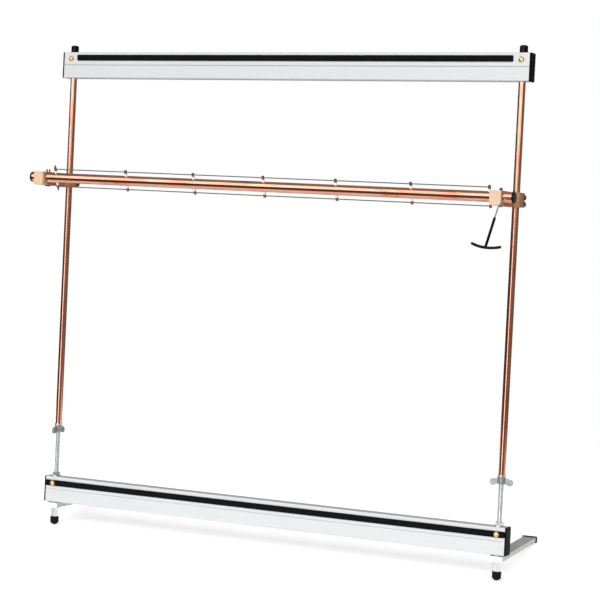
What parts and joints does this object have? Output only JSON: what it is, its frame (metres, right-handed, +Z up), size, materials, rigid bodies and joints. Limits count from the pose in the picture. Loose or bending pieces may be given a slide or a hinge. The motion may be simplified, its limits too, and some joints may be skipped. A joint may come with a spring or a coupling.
{
  "type": "tapestry loom",
  "caption": "Standing metal tapestry loom: twin-cell beams on copper uprights with screw tension, folding legs and a turning shed bar.",
  "frame": {"origin": "middle of the bounding box, on the ground that the feet stand on", "axes": "+X along the beams to the weaver's right, +Y from the weaver to the back, +Z up; the uprights lean back 8 degrees from +Z"},
  "size_m": [1.0018, 0.3498, 0.9483],
  "materials": {
    "beam_aluminium": "satin anodised",
    "leg_aluminium": "brushed mill finish",
    "copper": "bright drawn copper tube",
    "zinc_steel": "zinc plated",
    "brass": "polished brass",
    "dark_steel": "dark oxide",
    "rod_steel": "drawn wire",
    "black_plastic": "moulded",
    "hook_strip": "black hook tape",
    "black_vinyl": "soft moulded vinyl",
    "rubber": "moulded rubber",
    "wood": "oiled hardwood",
    "nylon": "natural nylon"
  },
  "bodies": {
    "base": {"bottom_beam": "beam_aluminium", "bottom_beam_plugs": "black_plastic", "bottom_hook_strip": "hook_strip", "bottom_set_screws": "brass", "beam_washers": "zinc_steel", "beam_nuts": "zinc_steel", "leg_spacers": "zinc_steel", "leg_washers": "zinc_steel", "coupling_nuts": "zinc_steel", "left_threaded_rod": "zinc_steel", "right_threaded_rod": "zinc_steel", "left_foot_cap": "rubber", "right_foot_cap": "rubber"},
    "left_leg": {"left_leg": "leg_aluminium", "left_leg_front_plug": "nylon", "left_leg_plug": "black_plastic"},
    "right_leg": {"right_leg": "leg_aluminium", "right_leg_front_plug": "nylon", "right_leg_plug": "black_plastic"},
    "upper_frame": {"left_upright": "copper", "right_upright": "copper", "upright_bushes": "zinc_steel", "upright_caps": "black_vinyl", "top_beam": "beam_aluminium", "top_beam_plugs": "black_plastic", "top_hook_strip": "hook_strip", "top_set_screws": "brass"},
    "left_wing_nut": {"left_wing_nut": "zinc_steel"},
    "right_wing_nut": {"right_wing_nut": "zinc_steel"},
    "shed_carriage": {"left_arm": "wood", "right_arm": "wood", "left_jaw": "wood", "right_jaw": "wood", "jaw_bolts": "dark_steel", "jaw_nuts": "brass", "pinch_bolts": "dark_steel"},
    "shed_bar": {"shed_bar": "copper", "bar_caps": "black_vinyl", "post_studs": "dark_steel", "post_spacers": "nylon", "eye_nuts": "brass", "lock_screws": "dark_steel", "top_heddle_rod": "rod_steel", "bottom_heddle_rod": "rod_steel", "handle_wire": "zinc_steel", "handle_nut": "zinc_steel", "handle_grip": "black_vinyl"}
  },
  "joints": [
    {"name": "height_slide", "type": "slide", "parent": "base", "child": "upper_frame", "axis": [0, 0.1392, 0.9903], "range_m": [-0.06, 0.11]},
    {"name": "left_nut_turn", "type": "hinge", "parent": "upper_frame", "child": "left_wing_nut", "pos_m": [-0.4629, -0.05473, 0.18468], "axis": [0, 0.1392, 0.9903], "range_deg": [-13617, 24955]},
    {"name": "right_nut_turn", "type": "hinge", "parent": "upper_frame", "child": "right_wing_nut", "pos_m": [0.4671, -0.05473, 0.18468], "axis": [0, 0.1392, 0.9903], "range_deg": [-13617, 24955]},
    {"name": "left_leg_fold", "type": "hinge", "parent": "base", "child": "left_leg", "pos_m": [-0.4629, -0.07514, 0.03941], "axis": [0, 0.1392, 0.9903], "range_deg": [-90, 0]},
    {"name": "right_leg_fold", "type": "hinge", "parent": "base", "child": "right_leg", "pos_m": [0.4671, -0.07514, 0.03941], "axis": [0, 0.1392, 0.9903], "range_deg": [-3.8, 86.2]},
    {"name": "carriage_slide", "type": "slide", "parent": "upper_frame", "child": "shed_carriage", "axis": [0, 0.1392, 0.9903], "range_m": [-0.44, 0.18]},
    {"name": "shed_bar_turn", "type": "hinge", "parent": "shed_carriage", "child": "shed_bar", "pos_m": [0.0021, -0.05996, 0.69134], "axis": [1, -0.0011, -0.0077], "range_deg": [-110, 70]}
  ],
  "couplings": [
    {"joint": "left_nut_turn", "follows": "height_slide", "rad_per_m": 3957.9},
    {"joint": "right_nut_turn", "follows": "height_slide", "rad_per_m": 3957.9}
  ]
}
